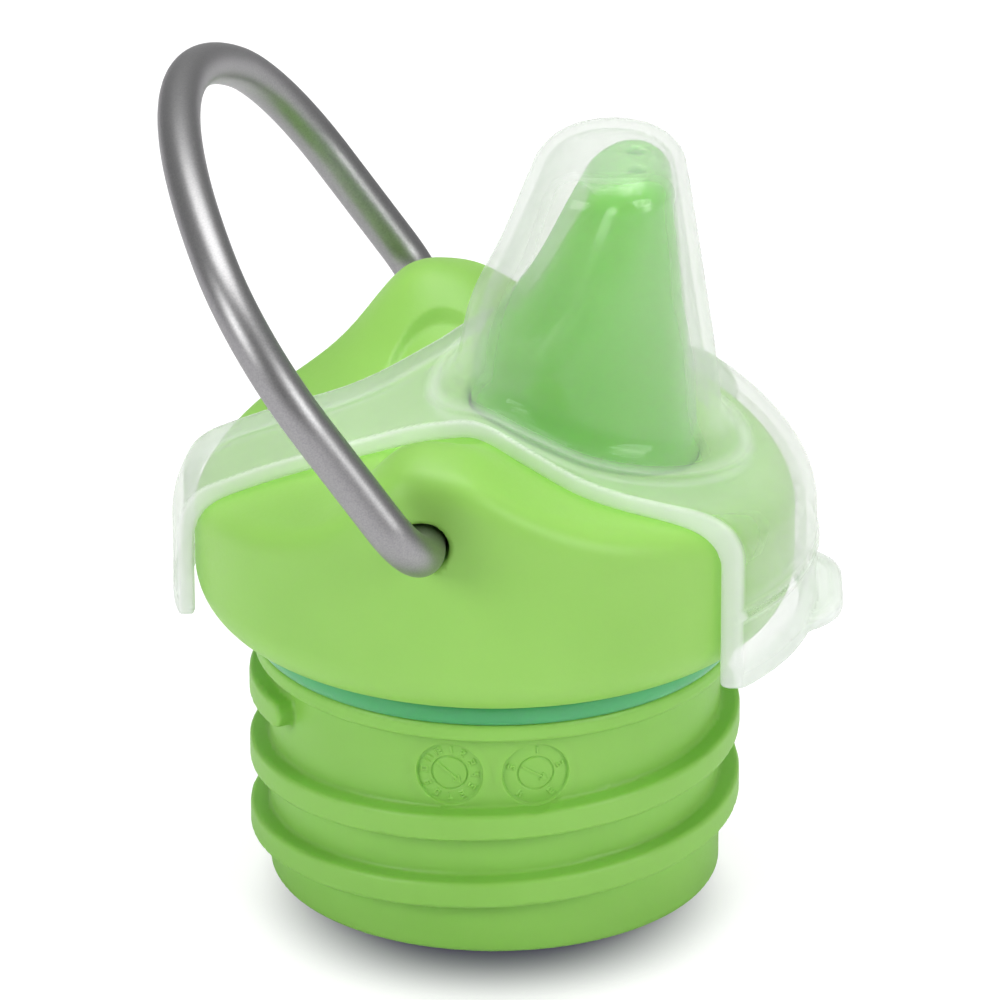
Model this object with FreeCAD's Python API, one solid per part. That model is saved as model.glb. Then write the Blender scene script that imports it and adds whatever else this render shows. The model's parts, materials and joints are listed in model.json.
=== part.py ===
"""Screw-in sippy cap of a children's drinking bottle, in millimetres.

The cap is six pieces: a threaded stem that screws into the bottle's neck, a crown welded over
it, a gasket under the crown, a soft spout, a wire bail hinged in the crown, and a clear dust
cover that snaps over the crown and the spout.

Frame: +Z is up along the stem's axis, +X points to the dust cover's finger tab, and the bail
turns about a line along Y.  The origin is the centre of the stem's open end.
"""
import FreeCAD, Part
import math
import os

Vector = FreeCAD.Vector
ORIGIN = Vector(0, 0, 0)
UP = Vector(0, 0, 1)
ACROSS = Vector(0, 1, 0)

# ---- driving dimensions ---------------------------------------------------------------------

# stem: the part inside the bottle's neck
STEM_RADIUS = 21.5
STEM_WALL = 2.9
STEM_TOP = 32.5
STEM_MOUTH_CHAMFER = 0.7
THREAD_CREST = 23.4
THREAD_PITCH = 6.95
THREAD_ROOT_WIDTH = 3.4
THREAD_CREST_WIDTH = 1.7
THREAD_START_ANGLE = 140.0        # degrees from +X, where the thread begins low down
THREAD_TURN_ANGLE = 790.0         # degrees that it runs, climbing right-handed
THREAD_ZERO_HEIGHT = 1.65         # height that the helix would have at angle 0
BEAD_BOTTOM = 22.2
BEAD_TOP = 24.2
BEAD_RADIUS = 22.4
GROOVE_RADIUS = 20.6              # the gasket sits in this groove
DIAL_RADIUS = 3.1                 # two round mould marks on the front of the stem
DIAL_HEIGHT = 18.4
DIAL_OFFSET = 4.0
DIAL_DEPTH = 0.35

# gasket
GASKET_RADIUS = 23.3

# crown
CROWN_RADIUS = 28.4
CROWN_WALL = 2.2
CROWN_BOTTOM = 26.7
CROWN_BOWL_ROUND = 5.1            # quarter round from the flat bottom up to the upright wall
CROWN_FLOOR = 30.5                # top of the thick ring that is welded to the stem
SHOULDER_BEVELS = [(3.2, 0.42), (1.3, 2.0)]   # how far in each bevel starts, and how steep it is
HILL_HEIGHT = 5.4                 # the two side hills that carry the bail
HILL_CENTRE_X = -8.0
HILL_CENTRE_Y = 22.0
HILL_REAR_SPREAD = 3.2
HILL_FRONT_SPREAD = 4.8
HILL_INNER_SPREAD = 5.0
HILL_OUTER_SPREAD = 7.0

# the crown's top along its middle, from rear to front: distance along X, height
ROOF_LINE = [(-31, 37.8), (-22, 41.4), (-13, 44.3), (-5.5, 47.1), (-1.5, 48.2),
             (3.5, 47.2), (9, 45.3), (15, 43.7), (23, 41.8), (31, 39.1)]

# spout
SPOUT_BASE_X = 8.4
SPOUT_BASE_RADIUS = 10.6
SPOUT_WALL = 1.8
SPOUT_GROOVE_RADIUS = 9.9
SPOUT_FLANGE_RADIUS = 12.2
SPOUT_FLANGE_THICKNESS = 1.8
SPOUT_CLEARANCE = 0.2
SPOUT_SEAT_BOTTOM = 36.4          # the ledge in the crown that the spout's groove grips
SPOUT_SEAT_TOP = 38.4
# the spout's rear and front outline: height, rear X, front X
SPOUT_OUTLINE = [(50.5, -2.2, 18.4), (53.4, -1.4, 18.2), (60.1, 3.5, 17.5), (66.2, 6.3, 17.0),
                 (70.6, 8.7, 16.4), (72.7, 9.9, 15.0), (73.8, 11.8, 13.3)]
SIP_HOLE_RADIUS = 0.7
SIP_HOLE_SPREAD = 2.3             # the two sip holes stand this far either side of the middle
SIP_HOLE_DEPTH = 6.0

# bail
BAIL_WIRE_RADIUS = 2.0
BAIL_PIVOT = Vector(-6.2, 0, 44.4)
BAIL_TILT = 35.1                  # degrees that the bail leans back from upright
BAIL_HALF_WIDTH = 33.9            # to the wire's centre line, at the pivot
BAIL_LEG = 17.1                   # straight leg, up to the corner bend
BAIL_CORNER = 18.5                # corner bend radius
BAIL_CORNER_ANGLE = 57.6          # degrees that each corner bend turns
BAIL_FOOT_BEND = 6.0              # bend radius where the leg turns into the socket
BAIL_FOOT_END = 20.2              # the pin's tip, measured from the middle
SOCKET_RADIUS = 2.08
SOCKET_END = 19.4
SOCKET_MOUTH_RADIUS = 2.5
SOCKET_MOUTH_START = 27.2
SOCKET_BOSS_RADIUS = 4.4

# dust cover
COVER_RADIUS = 30.5
COVER_WALL = 1.0
COVER_RIM = 1.7                   # the rim is this thick and this wide
COVER_GAP = 0.25                  # between the rim and the crown's top
COVER_SIDE_GAP = 0.85             # between the rim and the crown's upright wall
COVER_STRIP_HALF = 7.1            # half width of the strip over the crown's rear
COVER_FRONT_HALF = 20.1           # half width of the hood over the crown's front
COVER_FLARE_START = -17.0
COVER_FLARE_END = 14.0
COVER_REAR_BOTTOM = 28.6
COVER_FRONT_BOTTOM = 26.8
# the dome's outline over the spout: height, rear X, front X
DOME_OUTLINE = [(40.0, -4.2, 22.2), (46.0, -4.0, 21.5), (53.0, -3.3, 20.7), (57.5, -2.2, 20.0),
                (62.5, 0.4, 19.2), (68.0, 2.7, 18.3), (71.8, 4.2, 17.5), (74.2, 6.5, 15.2),
                (75.0, 9.0, 12.6)]
TAB_WIDTH = 19.0
TAB_REACH = 33.0
TAB_CORNER = 5.5
TAB_THICKNESS = 1.4

# The free height over every top surface that the cutting solids reach
SKY = 70.0
# The grid that the top surfaces are drawn through
GRID_HALF_SPAN = 33.0
GRID_STEPS = 30
# Pieces that are fused are made this much too long, so that they share volume
OVERLAP = 0.4


# ---- shared shapes --------------------------------------------------------------------------

def cylinder(radius, low, high, x=0.0, y=0.0):
    return Part.makeCylinder(radius, high - low, Vector(x, y, low), UP)


def revolve(points):
    """Solid of revolution about Z from a closed outline of (radius, height) corners."""
    corners = [Vector(radius, 0, height) for radius, height in points]
    face = Part.Face(Part.makePolygon(corners + corners[:1]))
    return face.revolve(ORIGIN, UP, 360)


def roof_height(x):
    """Height of the crown's top on its middle line: the roof points, joined smoothly."""
    points = ROOF_LINE
    index = 0
    while index < len(points) - 2 and x > points[index + 1][0]:
        index += 1
    slopes = [slope_at(points, i) for i in (index, index + 1)]
    (x0, z0), (x1, z1) = points[index], points[index + 1]
    width = x1 - x0
    t = (x - x0) / width
    start = z0 * (1 + 2 * t) * (1 - t) ** 2 + slopes[0] * width * t * (1 - t) ** 2
    end = z1 * (3 - 2 * t) * t ** 2 - slopes[1] * width * (1 - t) * t ** 2
    return start + end


def slope_at(points, index):
    """Slope at one roof point, from the points on either side of it."""
    before = points[max(index - 1, 0)]
    after = points[min(index + 1, len(points) - 1)]
    return (after[1] - before[1]) / (after[0] - before[0])


def bell(distance, spread):
    return math.exp(-0.5 * (distance / spread) ** 2)


def hill_height(x, y):
    """Height that the side hills add to the crown's top."""
    along = x - HILL_CENTRE_X
    across = abs(y) - HILL_CENTRE_Y
    along_spread = HILL_REAR_SPREAD if along < 0 else HILL_FRONT_SPREAD
    across_spread = HILL_INNER_SPREAD if across < 0 else HILL_OUTER_SPREAD
    return HILL_HEIGHT * bell(along, along_spread) * bell(across, across_spread)


def roof_surface_height(x, y):
    """Height of the crown's whole top surface, hills included."""
    inside_x = max(min(x, ROOF_LINE[-1][0]), ROOF_LINE[0][0])
    return roof_height(inside_x) + hill_height(x, y)


def column_under(height_at):
    """Tall solid whose top is the smooth surface height_at(x, y)."""
    span = GRID_HALF_SPAN
    places = [-span + 2 * span * i / GRID_STEPS for i in range(GRID_STEPS + 1)]
    surface = Part.BSplineSurface()
    surface.interpolate([[Vector(x, y, height_at(x, y)) for y in places] for x in places])
    return surface.toShape().extrude(Vector(0, 0, -2 * SKY))


def under_roof(blank, offset, wall_radius):
    """The part of blank below the roof moved up by offset, its shoulder bevelled to look round."""
    block = blank.common(column_under(lambda x, y: roof_surface_height(x, y) + offset))
    for reach, steepness in SHOULDER_BEVELS:
        def bevel(x, y):
            inset = wall_radius - reach - math.hypot(x, y)
            return roof_surface_height(x, y) + offset + steepness * inset
        block = block.common(column_under(bevel))
    return block


def lean_cone(outline, grow=0.0):
    """Solid through level circles, given as height, rear X and front X."""
    wires = []
    for height, rear, front in outline:
        radius = (front - rear) / 2 + grow
        circle = Part.Circle(Vector((front + rear) / 2, 0, height), UP, radius)
        wires.append(Part.Wire([circle.toShape()]))
    return Part.makeLoft(wires, True, False)


# ---- stem and gasket ------------------------------------------------------------------------

def thread_ridge():
    """One right-handed ridge of trapezoid section wound round the stem."""
    height = THREAD_PITCH * THREAD_TURN_ANGLE / 360
    start_height = THREAD_ZERO_HEIGHT + THREAD_PITCH * THREAD_START_ANGLE / 360
    helix = Part.makeHelix(THREAD_PITCH, height, STEM_RADIUS)
    root = STEM_RADIUS - OVERLAP
    corners = [Vector(root, 0, -THREAD_ROOT_WIDTH / 2), Vector(THREAD_CREST, 0, -THREAD_CREST_WIDTH / 2),
               Vector(THREAD_CREST, 0, THREAD_CREST_WIDTH / 2), Vector(root, 0, THREAD_ROOT_WIDTH / 2)]
    section = Part.makePolygon(corners + corners[:1])
    ridge = Part.Wire(helix.Edges).makePipeShell([section], True, True)
    ridge = Part.Solid(ridge) if ridge.ShapeType != "Solid" else ridge
    ridge.rotate(ORIGIN, UP, THREAD_START_ANGLE)
    ridge.translate(Vector(0, 0, start_height))
    return ridge


def dial_cut(x):
    """Shallow round pocket in the front of the stem, with its raised middle left standing."""
    front = -math.sqrt(STEM_RADIUS ** 2 - x ** 2)
    outward = Vector(x, front, 0)
    outward.normalize()
    floor = Vector(x, front, DIAL_HEIGHT) - outward * DIAL_DEPTH
    pocket = Part.makeCylinder(DIAL_RADIUS, 3 * DIAL_DEPTH, floor, outward)
    island = Part.makeCylinder(DIAL_RADIUS * 0.45, DIAL_DEPTH, floor, outward)
    return pocket.cut(island)


def threaded_stem():
    bore = STEM_RADIUS - STEM_WALL
    chamfer = STEM_MOUTH_CHAMFER
    tube = revolve([(bore, 0), (STEM_RADIUS - chamfer, 0), (STEM_RADIUS, chamfer),
                    (STEM_RADIUS, BEAD_BOTTOM - 0.5), (BEAD_RADIUS, BEAD_BOTTOM),
                    (BEAD_RADIUS, BEAD_TOP), (GROOVE_RADIUS, BEAD_TOP),
                    (GROOVE_RADIUS, CROWN_BOTTOM), (STEM_RADIUS, CROWN_BOTTOM),
                    (STEM_RADIUS, STEM_TOP - chamfer), (STEM_RADIUS - chamfer, STEM_TOP),
                    (bore, STEM_TOP)])
    stem = tube.fuse(thread_ridge())
    for x in (-DIAL_OFFSET, DIAL_OFFSET):
        stem = stem.cut(dial_cut(x))
    return stem


def neck_gasket():
    edge = 0.35
    return revolve([(GROOVE_RADIUS, BEAD_TOP), (GASKET_RADIUS - edge, BEAD_TOP),
                    (GASKET_RADIUS, BEAD_TOP + edge), (GASKET_RADIUS, CROWN_BOTTOM - edge),
                    (GASKET_RADIUS - edge, CROWN_BOTTOM), (GROOVE_RADIUS, CROWN_BOTTOM)])


# ---- crown ----------------------------------------------------------------------------------

def crown_blank():
    """The crown's outside without its top: flat bottom, quarter-round bowl, upright wall."""
    centre = Vector(CROWN_RADIUS - CROWN_BOWL_ROUND, 0, CROWN_BOTTOM + CROWN_BOWL_ROUND)
    half = CROWN_BOWL_ROUND * math.sqrt(0.5)
    bowl_middle = centre + Vector(half, 0, -half)
    axis_foot = Vector(0, 0, CROWN_BOTTOM)
    foot = Vector(centre.x, 0, CROWN_BOTTOM)
    wall_foot = Vector(CROWN_RADIUS, 0, centre.z)
    wall_head = Vector(CROWN_RADIUS, 0, SKY)
    axis_head = Vector(0, 0, SKY)
    edges = [Part.makeLine(axis_foot, foot),
             Part.Arc(foot, bowl_middle, wall_foot).toShape(),
             Part.makeLine(wall_foot, wall_head),
             Part.makeLine(wall_head, axis_head),
             Part.makeLine(axis_head, axis_foot)]
    return Part.Face(Part.Wire(edges)).revolve(ORIGIN, UP, 360)


def crown_outside():
    return under_roof(crown_blank(), 0.0, CROWN_RADIUS)


def socket(side):
    """Blind socket for one end of the bail, opening outwards, with a wider mouth."""
    direction = ACROSS * side
    start = Vector(BAIL_PIVOT.x, side * SOCKET_END, BAIL_PIVOT.z)
    hole = Part.makeCylinder(SOCKET_RADIUS, CROWN_RADIUS - SOCKET_END + 1, start, direction)
    mouth_start = Vector(BAIL_PIVOT.x, side * SOCKET_MOUTH_START, BAIL_PIVOT.z)
    mouth = Part.makeCylinder(SOCKET_MOUTH_RADIUS, 3, mouth_start, direction)
    return hole.fuse(mouth)


def socket_boss(side):
    """Solid boss inside the crown round one socket, reaching up to the roof."""
    start = Vector(BAIL_PIVOT.x, side * (SOCKET_END - CROWN_WALL), BAIL_PIVOT.z)
    length = CROWN_RADIUS - CROWN_WALL / 2 - SOCKET_END + CROWN_WALL
    return Part.makeCylinder(SOCKET_BOSS_RADIUS, length, start, ACROSS * side)


def crown_shell():
    outside = crown_outside()
    inner_radius = CROWN_RADIUS - CROWN_WALL
    hollow = under_roof(cylinder(inner_radius, CROWN_FLOOR, SKY), -CROWN_WALL, inner_radius)
    well = cylinder(SPOUT_BASE_RADIUS + CROWN_WALL, SPOUT_SEAT_BOTTOM, SKY, SPOUT_BASE_X)
    hollow = hollow.cut(well)
    for side in (-1, 1):
        hollow = hollow.cut(socket_boss(side))
    shell = outside.cut(hollow)
    shell = shell.cut(cylinder(STEM_RADIUS, CROWN_BOTTOM - 1, CROWN_FLOOR + 1))
    shell = shell.cut(cylinder(SPOUT_BASE_RADIUS + SPOUT_CLEARANCE, SPOUT_SEAT_TOP, SKY, SPOUT_BASE_X))
    shell = shell.cut(cylinder(SPOUT_GROOVE_RADIUS, CROWN_FLOOR, SKY, SPOUT_BASE_X))
    for side in (-1, 1):
        shell = shell.cut(socket(side))
    return shell


# ---- spout ----------------------------------------------------------------------------------

def spout():
    """Soft leaning spout with a round base, a groove that grips the crown, and two sip holes."""
    base_outline = (SPOUT_SEAT_TOP, SPOUT_BASE_X - SPOUT_BASE_RADIUS, SPOUT_BASE_X + SPOUT_BASE_RADIUS)
    shoulder = (47.0,) + base_outline[1:]
    body = cylinder(SPOUT_BASE_RADIUS, SPOUT_SEAT_TOP, shoulder[0], SPOUT_BASE_X)
    body = body.fuse(lean_cone([shoulder] + SPOUT_OUTLINE))
    neck = cylinder(SPOUT_GROOVE_RADIUS, SPOUT_SEAT_BOTTOM - OVERLAP, SPOUT_SEAT_TOP + OVERLAP, SPOUT_BASE_X)
    flange_bottom = SPOUT_SEAT_BOTTOM - SPOUT_FLANGE_THICKNESS
    flange = cylinder(SPOUT_FLANGE_RADIUS, flange_bottom, SPOUT_SEAT_BOTTOM, SPOUT_BASE_X)
    body = body.fuse(neck).fuse(flange)
    inside = [shoulder] + [(height, rear, front) for height, rear, front in SPOUT_OUTLINE[:-2]]
    hollow = lean_cone(inside, -SPOUT_WALL)
    bore = cylinder(SPOUT_GROOVE_RADIUS - SPOUT_WALL, flange_bottom - 1, shoulder[0] + OVERLAP, SPOUT_BASE_X)
    body = body.cut(hollow).cut(bore)
    top_height, top_rear, top_front = SPOUT_OUTLINE[-1]
    for side in (-1, 1):
        x = (top_rear + top_front) / 2
        hole = cylinder(SIP_HOLE_RADIUS, top_height - SIP_HOLE_DEPTH, top_height + 1, x, side * SIP_HOLE_SPREAD)
        body = body.cut(hole)
    return body


# ---- bail -----------------------------------------------------------------------------------

def bail_path():
    """The bail's centre line in the YZ plane of an upright bail, pivot at the origin."""
    bend = BAIL_FOOT_BEND
    half = BAIL_HALF_WIDTH
    turn = math.radians(BAIL_CORNER_ANGLE)
    corner_centre_y = half - BAIL_CORNER
    corner_end = (corner_centre_y + BAIL_CORNER * math.cos(turn), BAIL_LEG + BAIL_CORNER * math.sin(turn))
    top_radius = corner_end[0] / math.cos(turn)
    apex = corner_end[1] + top_radius * (1 - math.sin(turn))
    mid = math.radians(BAIL_CORNER_ANGLE / 2)
    corner_mid = (corner_centre_y + BAIL_CORNER * math.cos(mid), BAIL_LEG + BAIL_CORNER * math.sin(mid))
    foot_mid = (half - bend + bend * math.sin(math.pi / 4), bend - bend * math.cos(math.pi / 4))

    def point(side, place):
        return Vector(0, side * place[0], place[1])

    def half_path(side):
        start = point(side, (BAIL_FOOT_END, 0))
        bend_start = point(side, (half - bend, 0))
        bend_end = point(side, (half, bend))
        leg_end = point(side, (half, BAIL_LEG))
        return [Part.makeLine(start, bend_start),
                Part.Arc(bend_start, point(side, foot_mid), bend_end).toShape(),
                Part.makeLine(bend_end, leg_end),
                Part.Arc(leg_end, point(side, corner_mid), point(side, corner_end)).toShape()]

    top = Part.Arc(point(-1, corner_end), Vector(0, 0, apex), point(1, corner_end)).toShape()
    return half_path(-1) + [top] + half_path(1)[::-1]


def bail():
    path = Part.Wire(Part.__sortEdges__(bail_path()))
    start = Vector(0, -BAIL_FOOT_END, 0)
    section = Part.Wire([Part.Circle(start, ACROSS, BAIL_WIRE_RADIUS).toShape()])
    wire = path.makePipeShell([section], True, True)
    wire.rotate(ORIGIN, ACROSS, -BAIL_TILT)
    wire.translate(BAIL_PIVOT)
    return wire


# ---- dust cover -----------------------------------------------------------------------------

def cover_plan(inset, low, high):
    """Upright prism over the cover's outline seen from above: a strip that flares to a hood."""
    narrow = COVER_STRIP_HALF - inset
    wide = COVER_FRONT_HALF - inset
    start = COVER_FLARE_START
    end = COVER_FLARE_END
    rise = wide - narrow
    run = end - start
    bend = (run ** 2 + rise ** 2) / (4 * rise)
    half_turn = math.asin(run / 2 / bend) / 2
    reach = COVER_RADIUS + 5

    def flare(side):
        middle = Vector((start + end) / 2, side * (narrow + wide) / 2, low)
        first = Vector(start + bend * math.sin(half_turn), side * (narrow + bend * (1 - math.cos(half_turn))), low)
        last = Vector(end - bend * math.sin(half_turn), side * (wide - bend * (1 - math.cos(half_turn))), low)
        foot = Vector(start, side * narrow, low)
        head = Vector(end, side * wide, low)
        return [Part.makeLine(Vector(-reach, side * narrow, low), foot),
                Part.Arc(foot, first, middle).toShape(),
                Part.Arc(middle, last, head).toShape(),
                Part.makeLine(head, Vector(reach, side * wide, low))]

    rear = Part.makeLine(Vector(-reach, narrow, low), Vector(-reach, -narrow, low))
    front = Part.makeLine(Vector(reach, -wide, low), Vector(reach, wide, low))
    outline = Part.Wire(Part.__sortEdges__([rear, front] + flare(-1) + flare(1)))
    return Part.Face(outline).extrude(Vector(0, 0, high - low))


def cover_block(radius, offset):
    return under_roof(cylinder(radius, COVER_FRONT_BOTTOM - 1, SKY), offset, radius)


def finger_tab():
    """Flat rounded tongue that stands out at the front, level with the hood's lower edge."""
    root = COVER_RADIUS - TAB_CORNER - COVER_WALL
    tongue = Part.makeBox(TAB_REACH - root, TAB_WIDTH, TAB_THICKNESS,
                          Vector(root, -TAB_WIDTH / 2, COVER_FRONT_BOTTOM))
    corners = [edge for edge in tongue.Edges
               if edge.BoundBox.XMin > TAB_REACH - 0.01 and edge.BoundBox.ZLength > TAB_THICKNESS / 2]
    return tongue.makeFillet(TAB_CORNER, corners)


def dust_cover():
    outer = cover_block(COVER_RADIUS, COVER_GAP + COVER_RIM)
    outer = outer.common(cover_plan(0, 0, SKY))
    outer = outer.fuse(finger_tab())
    outer = outer.fuse(lean_cone(DOME_OUTLINE))
    clearance = cover_block(CROWN_RADIUS + COVER_SIDE_GAP, COVER_GAP)
    thin_inside = cover_block(COVER_RADIUS - COVER_WALL, COVER_GAP + COVER_RIM - COVER_WALL)
    rim_top = COVER_REAR_BOTTOM + COVER_RIM
    pocket = cover_plan(COVER_RIM, rim_top, SKY).common(thin_inside)
    rear_trim = Part.makeBox(COVER_RADIUS + 5, 4 * COVER_RADIUS, COVER_REAR_BOTTOM,
                             Vector(-COVER_RADIUS - 5, -2 * COVER_RADIUS, 0))
    floor_trim = Part.makeBox(4 * COVER_RADIUS, 4 * COVER_RADIUS, COVER_FRONT_BOTTOM,
                              Vector(-2 * COVER_RADIUS, -2 * COVER_RADIUS, 0))
    dome_inside = lean_cone(DOME_OUTLINE[:-1], -COVER_WALL)
    return outer.cut(clearance).cut(pocket).cut(rear_trim).cut(floor_trim).cut(dome_inside)


# ---- all pieces -----------------------------------------------------------------------------

PIECES = {
    "threaded_stem": threaded_stem,
    "neck_gasket": neck_gasket,
    "crown_shell": crown_shell,
    "spout": spout,
    "bail": bail,
    "dust_cover": dust_cover,
}


def main():
    os.makedirs("parts", exist_ok=True)
    for name, build in PIECES.items():
        shape = build()
        shape = shape.removeSplitter()
        solids = shape.Solids
        if len(solids) != 1 or not shape.isValid():
            print(f"{name}: {len(solids)} solids, valid {shape.isValid()}")
        solids[0].exportStep(os.path.join("parts", name + ".step"))
        box = solids[0].BoundBox
        print(f"{name}: {solids[0].Volume:.0f} mm3, x {box.XMin:.1f} {box.XMax:.1f}, "
              f"y {box.YMin:.1f} {box.YMax:.1f}, z {box.ZMin:.1f} {box.ZMax:.1f}")


main()
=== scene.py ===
"""Screw-in sippy cap of a children's drinking bottle: the looks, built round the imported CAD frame.

Shapes are worked out in millimetres from the frame's boxes and a few driving dimensions, and
become metres when a mesh is made.  Moulded pieces are smooth implicit solids: each is a function
that is negative inside the plastic, and solid_mesh() finds its surface.
"""
import json
import math

import bpy
import numpy as np
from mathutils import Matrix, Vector


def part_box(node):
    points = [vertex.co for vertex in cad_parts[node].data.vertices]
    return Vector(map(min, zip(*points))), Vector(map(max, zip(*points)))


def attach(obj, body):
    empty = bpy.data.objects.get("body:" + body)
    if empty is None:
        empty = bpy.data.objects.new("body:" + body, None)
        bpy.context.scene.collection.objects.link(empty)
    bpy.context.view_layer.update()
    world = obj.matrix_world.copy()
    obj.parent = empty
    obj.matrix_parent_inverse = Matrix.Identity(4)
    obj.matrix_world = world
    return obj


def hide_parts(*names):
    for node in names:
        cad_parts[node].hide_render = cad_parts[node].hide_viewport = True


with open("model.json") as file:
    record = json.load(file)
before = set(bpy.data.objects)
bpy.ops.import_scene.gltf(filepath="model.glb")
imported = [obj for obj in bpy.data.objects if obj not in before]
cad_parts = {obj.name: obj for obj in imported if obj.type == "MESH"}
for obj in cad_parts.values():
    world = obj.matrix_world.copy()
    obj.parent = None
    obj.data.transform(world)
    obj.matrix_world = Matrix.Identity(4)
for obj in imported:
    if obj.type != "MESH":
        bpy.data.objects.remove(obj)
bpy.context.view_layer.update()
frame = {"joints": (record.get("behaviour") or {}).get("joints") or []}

MM = 0.001


def node_box(node):
    """A CAD node's lowest and highest corners, in millimetres."""
    low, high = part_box(node)
    return low / MM, high / MM


# ---- sizes taken from the frame -------------------------------------------------------------

STEM_LOW, STEM_HIGH = node_box("threaded_stem")
GASKET_LOW, GASKET_HIGH = node_box("neck_gasket")
CROWN_LOW, CROWN_HIGH = node_box("crown_shell")
SPOUT_LOW, SPOUT_HIGH = node_box("spout")
COVER_LOW, COVER_HIGH = node_box("dust_cover")
HINGE = next(joint for joint in frame["joints"] if joint["name"] == "bail_hinge")
PIVOT_X, _, PIVOT_Z = (value / MM for value in HINGE["pos_m"])

CROWN_RADIUS = CROWN_HIGH.x
CROWN_BOTTOM = CROWN_LOW.z
THREAD_CREST = STEM_HIGH.x
STEM_TOP = STEM_HIGH.z
GASKET_BOTTOM = GASKET_LOW.z
GASKET_RADIUS = GASKET_HIGH.x
COVER_RADIUS = -COVER_LOW.x
COVER_FRONT_HALF = COVER_HIGH.y
TAB_REACH = COVER_HIGH.x
SPOUT_FLANGE_BOTTOM = SPOUT_LOW.z

# ---- driving dimensions in millimetres ------------------------------------------------------

STEM_RADIUS = 21.5
STEM_WALL = 2.9
STEM_EDGE_ROUND = 0.5
STEM_CELL = 0.42                  # each piece's mesh is this fine
THREAD_PITCH = 6.95
THREAD_ZERO_HEIGHT = 1.65
THREAD_START = 140.0              # degrees from +X
THREAD_END = 930.0
THREAD_HALF_WIDTH = 1.35
THREAD_EDGE_ROUND = 0.4
THREAD_FOOT_BLEND = 0.35
BEAD_BOTTOM = 22.4
BEAD_TOP = 24.2
BEAD_RADIUS = 22.9
BEAD_ROUND = 0.45
BEAD_FOOT_BLEND = 0.3
GROOVE_RADIUS = 20.6
GASKET_BULGE = 0.6

CROWN_WALL = 2.2
CROWN_FLOOR = 30.5
CROWN_CELL = 0.5
CROWN_HOLLOW_BLEND = 1.0
NECK_EDGE_BLEND = 0.3
BOWL_ROUND = 5.1
REAR_SHOULDER_BLEND = 2.2
FRONT_SHOULDER_BLEND = 2.9
ROOF_LINE = np.array([(-34, 36.6), (-22, 41.4), (-13, 44.3), (-5.5, 47.1), (-1.5, 48.2), (3.5, 47.2),
                      (9, 45.3), (15, 43.7), (23, 41.8), (34, 38.2)])
HILL_HEIGHT = 5.5
HILL_CENTRE = (-8.0, 22.0)
HILL_REAR_SPREAD = 3.8
HILL_FRONT_SPREAD = 5.6
HILL_INNER_SPREAD = 5.0
HILL_OUTER_SPREAD = 7.0
SCOOP_CENTRE = (-5.5, 10.3)       # shallow arch-topped pocket on each hill's inner face
SCOOP_REACH = (5.2, 6.6)
SCOOP_DEPTH = 0.65
SOCKET_RADIUS = 2.3
SOCKET_END = 19.4
SOCKET_ROUND = 0.45
BOSS_RADIUS = 4.4                 # the plastic left round each socket, inside the crown
DIAL_RADIUS = 3.1                 # two round date marks let into the front of the stem
DIAL_HEIGHT = 18.4
DIAL_OFFSET = 4.0
DIAL_DEPTH = 0.35
DIAL_CLEARANCE = 0.12
DIAL_HUB = 1.65
DIAL_RELIEF = 0.14
DIAL_NUMBERS = 2.4                # the numbers stand on a circle of this radius
DIAL_TIP = 0.85                   # the arrow's tip is this much as far out as its tail
DIAL_BARB = (0.45, 0.3)           # each barb's reach back along the arrow and out from it
DIAL_FLANGE = 0.85                # the dial's collar lies this far over the stem round the recess
DIGIT_HALF = (0.15, 0.28)         # half width and half height of one digit
DIGIT_STROKE = 0.06
DIGIT_SPACING = 3.4               # in half widths of a digit

SPOUT_BASE_X = 8.4
SPOUT_BASE_RADIUS = 10.6
SPOUT_WALL = 1.8
SPOUT_CELL = 0.4
SPOUT_FLATTER = 2.0               # the tip is flatter, and so lower, than the CAD's round one
SPOUT_TOP = SPOUT_HIGH.z - SPOUT_FLATTER
SPOUT_HOLE_CLEARANCE = 0.2
SPOUT_HOLE_BLEND = 0.8
SPOUT_SEAT_BOTTOM = 36.4
SPOUT_SEAT_TOP = 38.4
SPOUT_GROOVE_RADIUS = 9.9
SPOUT_FLANGE_RADIUS = 12.2
# the spout's sides, long along Y at the tip: height, rear X, front X, half width along Y
SPOUT_OUTLINE = np.array([(34, -2.2, 19.0, 10.6), (47, -2.2, 19.0, 10.6), (50.5, -2.2, 18.4, 10.5),
                          (53.4, -1.4, 18.2, 10.3), (60.1, 3.6, 17.5, 9.6), (66.2, 6.9, 16.9, 8.6),
                          (70.0, 8.9, 16.4, 7.7), (78, 12.8, 15.5, 6.7)])
SPOUT_TIP_ROUND = 2.8
SIP_HOLE_RADIUS = 0.85
SIP_HOLE_SPREAD = 2.35
SIP_HOLE_DEPTH = 7
SIP_HOLE_BLEND = 0.5

COVER_WALL = 1.0
COVER_CELL = 0.3
COVER_FRONT_BOTTOM = COVER_LOW.z - 0.3
COVER_LIFT = 1.95                 # the cover's outside stands this far over the crown's roof
COVER_STRIP_HALF = 7.1
COVER_FLARE_START = -17.0
COVER_FLARE_END = 14.0
COVER_REAR_BOTTOM = 28.0
COVER_EXTRA_BLEND = 1.2           # the cover's shoulder is this much softer than the crown's
COVER_RIM_WIDTH = 1.8
COVER_RIM_THICKNESS = 1.7
COVER_SKIRT_THICKNESS = 1.5
COVER_RIB_HEIGHT = 34.0
COVER_RIB_RELIEF = 0.3
COVER_RIB_HALF = 0.65
COVER_EDGE_ROUND = 0.4
COVER_CORNER_ROUND = 1.0
COVER_TAB_BLEND = 0.6
SKIRT_START = 25.5                # from this radius outwards the cover turns from top to wall
SKIRT_TURN = 4
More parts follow.
